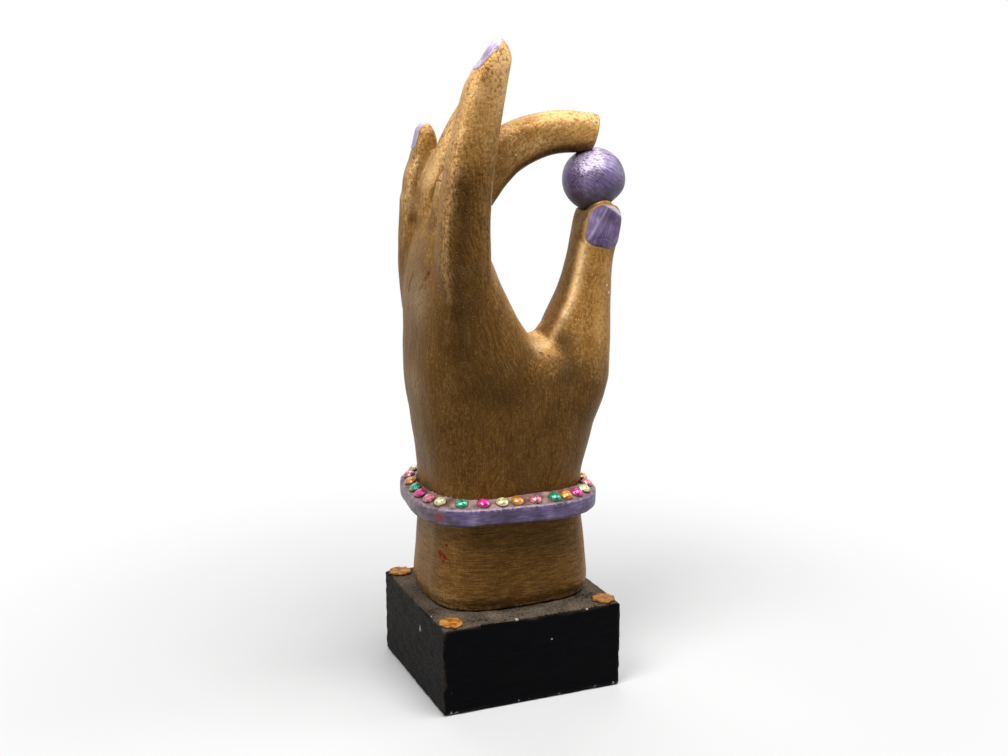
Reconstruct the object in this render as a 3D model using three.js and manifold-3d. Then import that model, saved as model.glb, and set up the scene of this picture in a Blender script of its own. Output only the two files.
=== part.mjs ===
// A carved wooden hand on a black block: the fingers stand up, the middle finger bends over and
// holds a ball against the thumb, and a bracelet set with gems goes round the wrist.
// Millimetres, Z up. The palm faces +X, the first finger is nearest -Y, the block stands on Z = 0.
// Heights of the hand are measured from its foot, just above the top of the block.
import * as THREE from "three";
import { mergeVertices } from "three/addons/utils/BufferGeometryUtils.js";
import Module from "manifold-3d";

const wasm = await Module();
wasm.setup();

// Clearances
const glueGap = 0.3;
const dowelPlay = 0.25;
const holeEndSpace = 1;

// Landmarks of the hand: heights above its foot, and where each digit stands from front to back
const height = { footRound: 3, narrow: 56, palmRoot: 70, heel: 94, web: 123.4, palmTop: 184 };
const root = { thumb: 66, first: 125, middle: 120, ring: 120, little: 115 };
const tip = { thumb: 184.5, first: 254.6, ring: 240, little: 219 };
const lane = { thumb: -10, first: -21.5, middle: -6, ring: 9, little: 22.3 };

// Block: its ledges are what shows past the foot of the wrist on each side
const block = { ledgeX: 4.2, ledgeY: 8.25, height: 41.4, wornEdge: 1.1 };

// Wrist and lower palm, level sections from the foot up to the web beside the thumb
const wrist = {
  spine: [
    { at: [1.4, 2.6, 0], half: [38.4, 31.6], square: 3.2 },
    { at: [1.4, 2.6, height.footRound], half: [39.8, 33], square: 3.2 },
    ...between(height.footRound, height.narrow, [
      { up: 0.28, x: 1.2, y: 2.6, half: [38.6, 32.2], square: 3.2 },
      { up: 0.7, x: 0.8, y: 2.5, half: [36.9, 31], square: 3.1 },
      { up: 1, x: 0.6, y: 2.4, half: [37, 30.7], square: 3 },
    ]),
    ...between(height.narrow, height.heel, [
      { up: 0.37, x: 1.9, y: 2, half: [40, 30.8], square: 2.8 },
      { up: 0.68, x: 2.4, y: 1.5, half: [42.6, 31], square: 2.7 },
      { up: 1, x: 3.1, y: 1, half: [44.9, 31], square: 2.6 },
    ]),
    ...between(height.heel, height.web, [
      { up: 0.45, x: 4.6, y: -1.2, half: [43.6, 28.6], square: 2.6 },
      { up: 1, x: 10, y: -7, half: [28, 20], square: 2.5 },
    ]),
  ],
  level: true,
  tipLength: 17,
  blunt: 2.3,
};
const foot = wrist.spine[1];
const narrow = wrist.spine[4];

// Upper palm, level sections from inside the wrist to the roots of the fingers
const palm = {
  spine: between(height.palmRoot, height.palmTop, [
    { up: 0, x: -3, y: 1, half: [33, 27], square: 2.6 },
    { up: 0.21, x: -8, y: 0.6, half: [34.4, 29.6], square: 2.7 },
    { up: 0.333, x: -11, y: 0.5, half: [32.8, 30.4], square: 2.7 },
    { up: 0.421, x: -14, y: 0.5, half: [29.6, 30.4], square: 2.7 },
    { up: 0.5, x: -17.2, y: 0.5, half: [25.6, 30.4], square: 2.7 },
    { up: 0.614, x: -21, y: 0.5, half: [21.2, 30.4], square: 2.7 },
    { up: 0.746, x: -24, y: 0.5, half: [18, 30], square: 2.6 },
    { up: 1, x: -25.5, y: 0.5, half: [15.5, 29], square: 2.6 },
  ]),
  level: true,
  tipLength: 46,
  blunt: 2.2,
};

// Thumb, from inside the wrist to its tip
const thumb = {
  spine: between(root.thumb, tip.thumb, [
    { up: 0, x: 16, y: lane.thumb + 5, half: [18, 18], square: 2.2 },
    { up: 0.287, x: 29.5, y: lane.thumb + 2, half: [19.5, 20], square: 2.2 },
    { up: 0.456, x: 33, y: lane.thumb, half: [17, 17.5], square: 2.2 },
    { up: 0.624, x: 37.2, y: lane.thumb - 1, half: [12.8, 13], square: 2.2 },
    { up: 0.776, x: 40.5, y: lane.thumb - 1, half: [10.2, 11.3], square: 2.2 },
    { up: 0.894, x: 43.3, y: lane.thumb - 0.5, half: [10.2, 11], square: 2.4 },
    { up: 1, x: 46.2, y: lane.thumb, half: [9.8, 10.6], square: 2.6 },
  ]),
  tipLength: 9,
  blunt: 2.2,
};

// Ball, seated in the thumb's tip and in the underside of the middle finger
const ball = { diameter: 28.8, thumbSeat: 4.8, lean: 23, fingerSeat: 2, around: 26, bands: 16 };
const ballRadius = ball.diameter / 2;
const thumbTip = new THREE.Vector3(...thumb.spine[thumb.spine.length - 1].at);
const leanTurn = THREE.MathUtils.degToRad(ball.lean);
const ballCenter = new THREE.Vector3(-Math.sin(leanTurn), 0, Math.cos(leanTurn))
  .multiplyScalar(ballRadius - ball.thumbSeat)
  .add(thumbTip);

// Fingers, from inside the palm to their tips
const firstFinger = {
  spine: between(root.first, tip.first, [
    { up: 0, x: -22, y: lane.first, half: [9, 6.5], square: 2.6 },
    { up: 0.256, x: -25.8, y: lane.first, half: [12.5, 9], square: 2.6 },
    { up: 0.481, x: -24.7, y: lane.first, half: [11.3, 8.9], square: 2.6 },
    { up: 0.659, x: -20.8, y: lane.first, half: [10.5, 8.4], square: 2.6 },
    { up: 0.837, x: -15.6, y: lane.first, half: [9.2, 7.8], square: 2.5 },
    { up: 1, x: -9.8, y: lane.first, half: [8.1, 6.7], square: 2.4 },
  ]),
  tipLength: 13,
  blunt: 2.4,
};
const ringFinger = {
  spine: between(root.ring, tip.ring, [
    { up: 0, x: -24, y: lane.ring, half: [11, 8.4], square: 2.5 },
    { up: 0.292, x: -25, y: lane.ring, half: [10.8, 8.4], square: 2.5 },
    { up: 0.517, x: -25.5, y: lane.ring, half: [9.9, 8.2], square: 2.4 },
    { up: 0.667, x: -20, y: lane.ring, half: [9.2, 8], square: 2.4 },
    { up: 0.808, x: -11.9, y: lane.ring, half: [8.7, 7.8], square: 2.4 },
    { up: 0.917, x: -4.6, y: lane.ring, half: [8, 7.4], square: 2.4 },
    { up: 1, x: 0, y: lane.ring, half: [7.6, 6.8], square: 2.3 },
  ]),
  tipLength: 11,
  blunt: 2.4,
};
const littleFinger = {
  spine: between(root.little, tip.little, [
    { up: 0, x: -23, y: lane.little, half: [7, 5], square: 2.5 },
    { up: 0.24, x: -29.6, y: lane.little, half: [10.3, 7.8], square: 2.4 },
    { up: 0.702, x: -30.4, y: lane.little, half: [8.3, 7.4], square: 2.4 },
    { up: 0.865, x: -28, y: lane.little, half: [6.7, 6.8], square: 2.4 },
    { up: 1, x: -26.6, y: lane.little, half: [3.8, 5.2], square: 2.3 },
  ]),
  tipLength: 9,
  blunt: 2.4,
};

// Middle finger: its last two sections lie over the ball; past the joint it is a piece of its own
const fingerPad = { half: [9.2, 8], leanBack: 14, overhang: 0.4, droop: 1.4 };
const padTurn = THREE.MathUtils.degToRad(fingerPad.leanBack);
const padMiddle = new THREE.Vector3(-Math.sin(padTurn), 0.05, Math.cos(padTurn))
  .multiplyScalar(ballRadius + fingerPad.half[0] - ball.fingerSeat)
  .add(ballCenter);
const middleFinger = {
  spine: [
    ...between(root.middle, padMiddle.z, [
      { up: 0, x: -25, y: lane.middle, half: [12, 8.2], square: 2.5 },
      { up: 0.419, x: -25.2, y: lane.middle, half: [11.6, 8.2], square: 2.5 },
      { up: 0.61, x: -22.5, y: lane.middle, half: [12.6, 8.2], square: 2.5 },
      { up: 0.755, x: -17.6, y: lane.middle, half: [13.8, 8.2], square: 2.5 },
      { up: 0.931, x: 2, y: lane.middle - 0.5, half: [10.8, 8.2], square: 2.5 },
      { up: 1, x: 20, y: lane.middle - 2, half: [9.9, 8.2], square: 2.5 },
    ]),
    { at: padMiddle.toArray(), half: fingerPad.half, square: 2.5 },
    {
      at: [ballCenter.x + fingerPad.overhang, ballCenter.y, padMiddle.z - fingerPad.droop],
      half: [8.2, 7.6],
      square: 2.5,
    },
  ],
  tipLength: 3.2,
  blunt: 5,
  joint: 0.495,
};

// Nails, carved in relief; the finger end is cut flat to the given depth under each nail, which is
// rolled round the finger from its back
const nails = {
  thumb: { from: 10, length: 21, width: 17, tilt: 3, roll: 90, depth: 0.4, rise: 1 },
  first: { from: 8, length: 17, width: 12, tilt: 27, roll: -14, depth: 6.9, rise: 0.9 },
  ring: { from: 8, length: 13, width: 11, tilt: 12, roll: 0, depth: 2, rise: 0.9 },
  little: { from: 8, length: 13, width: 9.5, tilt: 8, roll: 0, depth: 2, rise: 0.9 },
  middle: { from: 8, length: 13, width: 11, tilt: 6, roll: -50, depth: 1.2, rise: 0.8 },
};

// Wooden pins inside
const baseDowel = { diameter: 10, length: 48, apart: 36, sides: 16 };
const fingerDowel = { diameter: 6, length: 22, sides: 12 };
const ballPin = { diameter: 4, length: 18, sides: 12 };

// Bracelet: it hangs a drop below the narrow of the wrist, reaches out from there and sits a little turned
const bracelet = { drop: 2, slope: 3.2, slopeRun: 8.4, band: 7.9, bevel: 1.4, square: 3.2, turn: -6.8 };
const braceletReach = { x: 7.1, y: 8.6 };
const braceletShift = { x: -1, y: -0.4 };

// Gems, glued on the slope of the bracelet
const gem = { diameter: 5.8, height: 2.2, girdle: 0.6, table: 2.8, facets: 8, count: 30, first: 0.013, inset: 4.1 };
// How far each gem is out of even spacing, as a share of the spacing, repeated round the wrist
const gemNudges = [-0.05, 0, 0.05, -0.1, 0.11, 0.25, 0.25, 0.08, 0.07, 0.19, -0.1, -0.33, -0.55, -0.5, -0.3];
const gemColors = { amber: 0xe08a1e, green: 0x10a878, magenta: 0xd0186a, pale: 0xe8e0a8, rose: 0xe8a8a0 };
const gemOrder = ["green", "magenta", "rose", "pale", "green", "magenta", "pale", "amber", "rose"].concat(
  ["green", "amber", "magenta", "pale", "rose", "amber"],
);

// Flowers on the corners of the block
const flower = { diameter: 11.4, height: 1.8, petals: 8, notch: 0.2, edge: 0.6, margin: 0.2 };
const button = { diameter: 4.4, dome: 1.1 };

// Rings of facets on a finger's tip, sides round the bracelet and facets on a petal's edge
const tipRings = 5;
const braceletSides = 56;
const petalSides = 6;

const acrossAxis = new THREE.Vector3(1, 0, 0);
const sideAxis = new THREE.Vector3(0, 1, 0);
const upAxis = new THREE.Vector3(0, 0, 1);

// Sections of a form between two heights, each at its share of the way up
function between(low, high, rows) {
  return rows.map(({ up, x, y, half, square }) => ({ at: [x, y, low + up * (high - low)], half, square }));
}

// Points of a rounded-square section
function sectionPoints(center, thickAxis, wideAxis, thick, wide, square, sides) {
  const points = [];
  for (let i = 0; i < sides; i++) {
    const turn = (2 * Math.PI * i) / sides;
    const c = Math.cos(turn);
    const s = Math.sin(turn);
    const u = Math.sign(c) * Math.pow(Math.abs(c), 2 / square) * thick;
    const v = Math.sign(s) * Math.pow(Math.abs(s), 2 / square) * wide;
    points.push(center.clone().addScaledVector(thickAxis, u).addScaledVector(wideAxis, v));
  }
  return points;
}

// A closed skin over a stack of rings; each end closes on one point
function skin(rings, firstEnd, lastEnd) {
  const sides = rings[0].length;
  const points = [...rings.flat(), firstEnd, lastEnd];
  const first = points.length - 2;
  const last = points.length - 1;
  const index = [];
  for (let r = 0; r + 1 < rings.length; r++) {
    for (let i = 0; i < sides; i++) {
      const a = r * sides + i;
      const b = r * sides + ((i + 1) % sides);
      index.push(a, b, b + sides, a, b + sides, a + sides);
    }
  }
  const top = (rings.length - 1) * sides;
  for (let i = 0; i < sides; i++) {
    const next = (i + 1) % sides;
    index.push(first, next, i, last, top + i, top + next);
  }
  const geometry = new THREE.BufferGeometry().setFromPoints(points);
  geometry.setIndex(index);
  return geometry;
}

// Smooth middle line and girth through the sections of a form
function linesThrough(form, grow = 0) {
  const places = form.spine.map((s) => new THREE.Vector3(...s.at));
  const sizes = form.spine.map((s) => new THREE.Vector3(s.half[0] + grow, s.half[1] + grow, s.square));
  const middle = new THREE.CatmullRomCurve3(places);
  const girth = new THREE.CatmullRomCurve3(sizes);
  return { middle, girth, length: middle.getLength() };
}

// The place on a form's middle line at a share of its length, with the axes of the section there
function placeOn(form, share, lines = linesThrough(form)) {
  const t = lines.middle.getUtoTmapping(share);
  const along = form.level ? upAxis : lines.middle.getTangent(t);
  const wideAxis = sideAxis.clone().addScaledVector(along, -along.dot(sideAxis)).normalize();
  const thickAxis = wideAxis.clone().cross(along).normalize();
  return { center: lines.middle.getPoint(t), along, wideAxis, thickAxis, size: lines.girth.getPoint(t) };
}

// A form with a flat start and, when it runs to the end of its line, a rounded tip
function carve(form, steps, tipSteps, sides, from = 0, to = 1, grow = 0) {
  const lines = linesThrough(form, grow);
  const tipStart = 1 - form.tipLength / lines.length;
  const bodyEnd = Math.min(to, tipStart);
  const stations = [];
  for (let r = 0; r <= steps; r++) {
    stations.push({ share: from + ((bodyEnd - from) * r) / steps, shrink: 1 });
  }
  for (let r = 1; r < tipSteps; r++) {
    const along = Math.sin((Math.PI / 2) * (r / tipSteps));
    const shrink = Math.pow(1 - Math.pow(along, form.blunt), 1 / form.blunt);
    stations.push({ share: tipStart + (1 - tipStart) * along, shrink });
  }
  const stack = stations.map(({ share, shrink }) => {
    const { center, thickAxis, wideAxis, size } = placeOn(form, share, lines);
    const thick = size.x * shrink;
    const wide = size.y * shrink;
    return sectionPoints(center, thickAxis, wideAxis, thick, wide, size.z, sides);
  });
  const start = placeOn(form, from, lines).center;
  const end = placeOn(form, to, lines);
  const tip = to === 1 ? end.center.addScaledVector(end.along, grow) : end.center;
  return skin(stack, start, tip);
}

// Solids
function solid(geometry) {
  const bare = geometry.clone();
  bare.deleteAttribute("normal");
  bare.deleteAttribute("uv");
  const joined = mergeVertices(bare, 1e-4);
  const mesh = new wasm.Mesh({
    numProp: 3,
    vertProperties: new Float32Array(joined.attributes.position.array),
    triVerts: new Uint32Array(joined.index.array),
  });
  mesh.merge();
  return new wasm.Manifold(mesh);
}

function geometryOf(body) {
  const mesh = body.getMesh();
  const geometry = new THREE.BufferGeometry();
  geometry.setAttribute("position", new THREE.BufferAttribute(new Float32Array(mesh.vertProperties), 3));
  geometry.setIndex(new THREE.BufferAttribute(new Uint32Array(mesh.triVerts), 1));
  geometry.computeVertexNormals();
  return geometry;
}

// Turns a shape whose height runs along Z so that it stands at a place along an axis
function standAt(geometry, place, lengthAxis, heightAxis) {
  const widthAxis = lengthAxis.clone().cross(heightAxis);
  const frame = new THREE.Matrix4().makeBasis(widthAxis, lengthAxis, heightAxis);
  return geometry.clone().applyMatrix4(frame.setPosition(place));
}

function squareTo(axis) {
  const other = Math.abs(axis.z) < 0.9 ? upAxis : acrossAxis;
  return other.clone().addScaledVector(axis, -axis.dot(other)).normalize();
}

function rod(pin, extraDiameter, extraLength, center, axis) {
  const radius = (pin.diameter + extraDiameter) / 2;
  const cylinder = new THREE.CylinderGeometry(radius, radius, pin.length + extraLength, pin.sides);
  return standAt(cylinder.rotateX(Math.PI / 2), center, squareTo(axis), axis);
}

function holeFor(pin, center, axis) {
  return solid(rod(pin, 2 * dowelPlay, 2 * holeEndSpace, center, axis));
}

function sphereAt(center, radius) {
  const sphere = new THREE.SphereGeometry(radius, ball.around, ball.bands);
  return sphere.rotateX(Math.PI / 2).translate(center.x, center.y, center.z);
}

// A nail with rounded root corners and an arched free end
function nailOutline(width, length) {
  const shape = new THREE.Shape();
  const w = width / 2;
  const l = length / 2;
  const round = 0.35 * w;
  shape.moveTo(-w + round, -l);
  shape.lineTo(w - round, -l);
  shape.quadraticCurveTo(w, -l, w, -l + round);
  shape.lineTo(w, l - 1.6 * round);
  shape.quadraticCurveTo(w, l, 0, l);
  shape.quadraticCurveTo(-w, l, -w, l - 1.6 * round);
  shape.lineTo(-w, -l + round);
  shape.quadraticCurveTo(-w, -l, -w + round, -l);
  return shape;
}

// Carves a finger and gives it a nail that follows its surface
function carveWithNail(form, nail, steps, sides, from = 0) {
  const lines = linesThrough(form);
  const { center, along, thickAxis, size } = placeOn(form, 1 - nail.from / lines.length);
  const roll = THREE.MathUtils.degToRad(nail.roll);
  const faceAxis = thickAxis.clone().negate().applyAxisAngle(along, roll);
  const bulge = size.z / (size.z - 1);
  const thickShare = Math.pow(Math.abs(Math.cos(roll)) * size.x, bulge);
  const wideShare = Math.pow(Math.abs(Math.sin(roll)) * size.y, bulge);
  const reach = Math.pow(thickShare + wideShare, 1 / bulge) - nail.depth;
  const tilt = THREE.MathUtils.degToRad(nail.tilt);
  const lengthAxis = along.clone().multiplyScalar(Math.cos(tilt));
  lengthAxis.addScaledVector(faceAxis, -Math.sin(tilt));
  const heightAxis = faceAxis.clone().multiplyScalar(Math.cos(tilt));
  heightAxis.addScaledVector(along, Math.sin(tilt));
  const bed = center.clone().addScaledVector(faceAxis, reach);
  const top = bed.clone().addScaledVector(heightAxis, nail.rise);
  const room = 2 * size.x;
  const box = new THREE.BoxGeometry(4 * nail.width, 4 * nail.length, room).translate(0, 0, room / 2);
  const outline = nailOutline(nail.width, nail.length);
  const options = { depth: room, bevelEnabled: false, curveSegments: 4 };
  const prism = new THREE.ExtrudeGeometry(outline, options).translate(0, 0, -room / 2);
  const finger = solid(carve(form, steps, tipRings, sides, from));
  const swollen = solid(carve(form, steps, tipRings, sides, from, 1, nail.rise));
  const cut = solid(standAt(box, bed, lengthAxis, heightAxis));
  const trim = solid(standAt(box, top, lengthAxis, heightAxis));
  const relief = swollen.subtract(trim).intersect(solid(standAt(prism, bed, lengthAxis, heightAxis)));
  return finger.subtract(cut).add(relief);
}

// Hand
const wristBody = solid(carve(wrist, 18, 6, 36));
const wristRoom = solid(carve(wrist, 18, 6, 36, 0, 1, glueGap));
const palmBody = solid(carve(palm, 11, 6, 28));
const thumbBody = carveWithNail(thumb, nails.thumb, 13, 22);
const firstBody = carveWithNail(firstFinger, nails.first, 11, 18);
const ringBody = carveWithNail(ringFinger, nails.ring, 10, 16);
const littleBody = carveWithNail(littleFinger, nails.little, 9, 16);
const middleLength = linesThrough(middleFinger).length;
const rootBody = solid(carve(middleFinger, 8, 0, 18, 0, middleFinger.joint));
const bentRoom = solid(carve(middleFinger, 13, tipRings, 18, middleFinger.joint, 1, glueGap));
const bentStart = middleFinger.joint + glueGap / middleLength;
const bentBody = carveWithNail(middleFinger, nails.middle, 13, 18, bentStart);
const ballRoom = solid(sphereAt(ballCenter, ballRadius + glueGap));

// Pins: where they stand and which way they run
const dowelPlaces = [-1, 1].map(
  (side) => new THREE.Vector3(foot.at[0] + (side * baseDowel.apart) / 2, foot.at[1], 0),
);
const jointPlace = placeOn(middleFinger, middleFinger.joint);
const pinAxis = ballCenter.clone().sub(thumbTip).normalize();
const pinPlace = ballCenter.clone().addScaledVector(pinAxis, -ballRadius);
const dowelHoles = dowelPlaces.map((place) => holeFor(baseDowel, place, upAxis));
const fingerHole = holeFor(fingerDowel, jointPlace.center, jointPlace.along);
const ballHole = holeFor(ballPin, pinPlace, pinAxis);

const handForms = [wristBody, palmBody, thumbBody, firstBody, ringBody, littleBody, rootBody];
const handCuts = [bentRoom, ballRoom, fingerHole, ballHole, ...dowelHoles];
const handBody = wasm.Manifold.union(handForms).subtract(wasm.Manifold.union(handCuts));
const bentFinger = bentBody.subtract(ballRoom).subtract(fingerHole);
const ballBody = solid(sphereAt(ballCenter, ballRadius)).subtract(ballHole);

// Bracelet: a solid plate of its outline, with the wrist taken out
const braceletCrest = height.narrow - bracelet.drop;
const braceletEdge = braceletCrest - bracelet.slope;
const braceletBottom = braceletEdge - bracelet.band;
const braceletRings = [
  { level: braceletBottom, inset: bracelet.bevel },
  { level: braceletBottom + bracelet.bevel, inset: 0 },
  { level: braceletEdge, inset: 0 },
  { level: braceletCrest, inset: bracelet.slopeRun },
];
const braceletX = narrow.at[0] + braceletShift.x;
const braceletY = narrow.at[1] + braceletShift.y;
const braceletTurn = THREE.MathUtils.degToRad(bracelet.turn);
const braceletAcross = acrossAxis.clone().applyAxisAngle(upAxis, braceletTurn);
const braceletSide = sideAxis.clone().applyAxisAngle(upAxis, braceletTurn);
function braceletPoints(level, inset) {
  const center = new THREE.Vector3(braceletX, braceletY, level);
  const thick = narrow.half[0] + braceletReach.x - inset;
  const wide = narrow.half[1] + braceletReach.y - inset;
  return sectionPoints(center, braceletAcross, braceletSide, thick, wide, bracelet.square, braceletSides);
}
const braceletPlate = skin(
  braceletRings.map((ring) => braceletPoints(ring.level, ring.inset)),
  new THREE.Vector3(braceletX, braceletY, braceletBottom),
  new THREE.Vector3(braceletX, braceletY, braceletCrest),
);
const braceletBody = solid(braceletPlate).subtract(wristRoom);

// Gems: spaced along a line on the slope, square to it
const gemLevel = braceletEdge + (bracelet.slope * gem.inset) / bracelet.slopeRun;
const gemLine = new THREE.CatmullRomCurve3(braceletPoints(gemLevel, gem.inset), true);
const gemProfile = [
  new THREE.Vector2(0, 0),
  new THREE.Vector2(gem.diameter / 2, 0),
  new THREE.Vector2(gem.diameter / 2, gem.girdle),
  new THREE.Vector2(gem.table / 2, gem.height),
  new THREE.Vector2(0, gem.height),
];
const gemBlank = new THREE.LatheGeometry(gemProfile, gem.facets).rotateX(Math.PI / 2);
function gemAt(number) {
  const share = (1 + gem.first + (number + gemNudges[number % gemNudges.length]) / gem.count) % 1;
  const along = gemLine.getTangentAt(share);
  const outward = along.clone().cross(upAxis).normalize();
  const slopeFace = outward.multiplyScalar(bracelet.slope).addScaledVector(upAxis, bracelet.slopeRun);
  const heightAxis = slopeFace.normalize();
  const place = gemLine.getPointAt(share).addScaledVector(heightAxis, glueGap);
  return solid(standAt(gemBlank, place, along, heightAxis)).subtract(wristRoom);
}

// Block, with its edges rubbed round and blind holes for the two dowels
const blockWidth = 2 * (foot.half[0] + block.ledgeX);
const blockDepth = 2 * (foot.half[1] + block.ledgeY);
function rectangle(width, depth) {
  const shape = new THREE.Shape();
  shape.moveTo(-width / 2, -depth / 2);
  shape.lineTo(width / 2, -depth / 2);
  shape.lineTo(width / 2, depth / 2);
  shape.lineTo(-width / 2, depth / 2);
  shape.closePath();
  return shape;
}
const blockShape = rectangle(blockWidth - 2 * block.wornEdge, blockDepth - 2 * block.wornEdge);
const blockForm = new THREE.ExtrudeGeometry(blockShape, {
  depth: block.height - 2 * block.wornEdge,
  bevelSize: block.wornEdge,
  bevelThickness: block.wornEdge,
  bevelSegments: 2,
}).translate(0, 0, block.wornEdge);
const handLift = new THREE.Vector3(0, 0, block.height + glueGap);
const blockHoles = dowelPlaces.map((place) => holeFor(baseDowel, place.clone().add(handLift), upAxis));
const blockBody = solid(blockForm).subtract(wasm.Manifold.union(blockHoles));

// Corner flowers: petals round a domed button
function petalRing(level, inset) {
  const points = [];
  const sides = flower.petals * petalSides;
  for (let i = 0; i < sides; i++) {
    const turn = (2 * Math.PI * i) / sides;
    const scallop = 1 - Math.abs(Math.cos((flower.petals * turn) / 2));
    const radius = (flower.diameter / 2 - inset) * (1 - flower.notch * scallop);
    points.push(new THREE.Vector3(radius * Math.cos(turn), radius * Math.sin(turn), level));
  }
  return points;
}
const petalForm = skin(
  [
    petalRing(0, flower.edge),
    petalRing(flower.edge, 0),
    petalRing(flower.height - flower.edge, 0),
    petalRing(flower.height, flower.edge),
  ],
  new THREE.Vector3(),
  new THREE.Vector3(0, 0, flower.height),
);
const buttonSphere = new THREE.SphereGeometry(button.diameter / 2, 10, 6).rotateX(Math.PI / 2);
const buttonForm = buttonSphere.scale(1, 1, (2 * button.dome) / button.diameter);
const flowerForm = geometryOf(solid(petalForm).add(solid(buttonForm.translate(0, 0, flower.height))));
const flowerX = blockWidth / 2 - flower.diameter / 2 - flower.margin;
const flowerY = blockDepth / 2 - flower.diameter / 2 - flower.margin;
function flowerAt(sideX, sideY) {
  return solid(flowerForm.clone().translate(sideX * flowerX, sideY * flowerY, 0)).subtract(wristRoom);
}

// Pieces
const part = new THREE.Group();
part.name = "buddha_hand_sculpture";
function finish(name, color, roughness, metalness) {
  const material = new THREE.MeshStandardMaterial({ color, roughness, metalness });
  material.name = name;
  return material;
}
const goldPaint = finish("gold_paint", 0xb0803f, 0.45, 0.6);
const violetPaint = finish("violet_paint", 0x8478ae, 0.35, 0.3);
const blackPaint = finish("black_paint", 0x1d1d22, 0.55, 0);
const gilding = finish("gilding", 0xc07a2c, 0.6, 0.3);
const bareWood = finish("bare_wood", 0xc9a878, 0.8, 0);

function add(name, geometry, material, place = handLift) {
  const mesh = new THREE.Mesh(geometry, material);
  mesh.name = name;
  mesh.position.copy(place);
  part.add(mesh);
}

const onFloor = new THREE.Vector3();
add("base_block", geometryOf(blockBody), blackPaint, onFloor);
add("hand_carving", geometryOf(handBody), goldPaint);
add("curled_finger", geometryOf(bentFinger), goldPaint);
add("ball", geometryOf(ballBody), violetPaint);
add("bracelet", geometryOf(braceletBody), violetPaint);
add("base_dowel_left", rod(baseDowel, 0, 0, dowelPlaces[0], upAxis), bareWood);
add("base_dowel_right", rod(baseDowel, 0, 0, dowelPlaces[1], upAxis), bareWood);
add("finger_dowel", rod(fingerDowel, 0, 0, jointPlace.center, jointPlace.along), bareWood);
add("ball_pin", rod(ballPin, 0, 0, pinPlace, pinAxis), bareWood);
add("corner_flower_front_left", geometryOf(flowerAt(-1, -1)), gilding);
add("corner_flower_front_right", geometryOf(flowerAt(1, -1)), gilding);
add("corner_flower_back_left", geometryOf(flowerAt(-1, 1)), gilding);
add("corner_flower_back_right", geometryOf(flowerAt(1, 1)), gilding);
for (let number = 0; number < gem.count; number++) {
  const color = gemOrder[number % gemOrder.length];
  const name = `gem_${String(number + 1).padStart(2, "0")}`;
  add(name, geometryOf(gemAt(number)), finish(`gem_${color}`, gemColors[color], 0.12, 0));
}

export default part;
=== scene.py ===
import math
from contextlib import contextmanager
import bmesh
import bpy
import numpy as np
from mathutils import Euler, Matrix, Vector, noise
from mathutils.bvhtree import BVHTree


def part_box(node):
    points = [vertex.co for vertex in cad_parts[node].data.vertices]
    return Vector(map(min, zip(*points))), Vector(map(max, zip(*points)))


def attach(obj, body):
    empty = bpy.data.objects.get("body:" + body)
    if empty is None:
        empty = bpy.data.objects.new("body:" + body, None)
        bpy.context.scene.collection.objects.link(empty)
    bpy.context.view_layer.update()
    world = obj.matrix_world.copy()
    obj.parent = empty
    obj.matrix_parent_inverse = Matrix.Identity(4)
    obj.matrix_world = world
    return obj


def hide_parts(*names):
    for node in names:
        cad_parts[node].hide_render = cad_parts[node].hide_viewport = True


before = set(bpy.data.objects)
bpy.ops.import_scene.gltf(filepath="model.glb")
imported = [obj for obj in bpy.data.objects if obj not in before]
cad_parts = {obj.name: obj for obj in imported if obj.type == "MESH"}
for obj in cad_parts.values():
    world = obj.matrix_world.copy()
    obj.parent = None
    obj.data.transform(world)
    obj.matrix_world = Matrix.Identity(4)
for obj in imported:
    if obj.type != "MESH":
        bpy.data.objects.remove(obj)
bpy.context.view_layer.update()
scene = bpy.context.scene
mm = 0.001
print("frame:", len(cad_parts), "nodes")


# a node socket that takes arithmetic
class Socket:
    def __init__(self, tree, out):
        self.tree = tree
        self.out = out

    def calc(self, operation, *terms):
        return self.tree.node("ShaderNodeMath", dict(enumerate(terms)), {"operation": operation})

    def __add__(self, other):
        return self.calc("ADD", self, other)

    def __sub__(self, other):
        return self.calc("SUBTRACT", self, other)

    def __rsub__(self, other):
        return self.calc("SUBTRACT", other, self)

    def __mul__(self, other):
        return self.calc("MULTIPLY", self, other)

    __radd__ = __add__
    __rmul__ = __mul__


# from the first value to the second by a share
def between(share, first, second):
    return first + share * (second - first)


# a node tree, for a finish or for geometry
class Nodes:
    def __init__(self, tree):
        self.tree = tree
        self.tree.nodes.clear()

    # inputs are numbers, tuples, sockets or a list of sockets that share one input
    def node(self, kind, inputs=None, settings=None, output=0):
        item = self.tree.nodes.new(kind)
        for key, value in (settings or {}).items():
            setattr(item, key, value)
        for key, value in (inputs or {}).items():
            for link in value if isinstance(value, list) else [value]:
                if isinstance(link, Socket):
                    self.tree.links.new(link.out, item.inputs[key])
                else:
                    item.inputs[key].default_value = link
        return Socket(self, item.outputs[output]) if item.outputs else item

    # a smooth step of a value, from 0 at low to 1 at high
    def step(self, value, low, high):
        return self.node("ShaderNodeMapRange", {"Value": value, "From Min": low, "From Max": high},
                         {"interpolation_type": "SMOOTHSTEP"})

    # 1 for the rays that show the background: seen, mirrored or through glass
    def seen(self):
        rays = [self.node("ShaderNodeLightPath", output=kind)
                for kind in ("Is Camera Ray", "Is Glossy Ray", "Is Transmission Ray")]
        return self.step(sum(rays), 0.2, 0.8)


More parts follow.
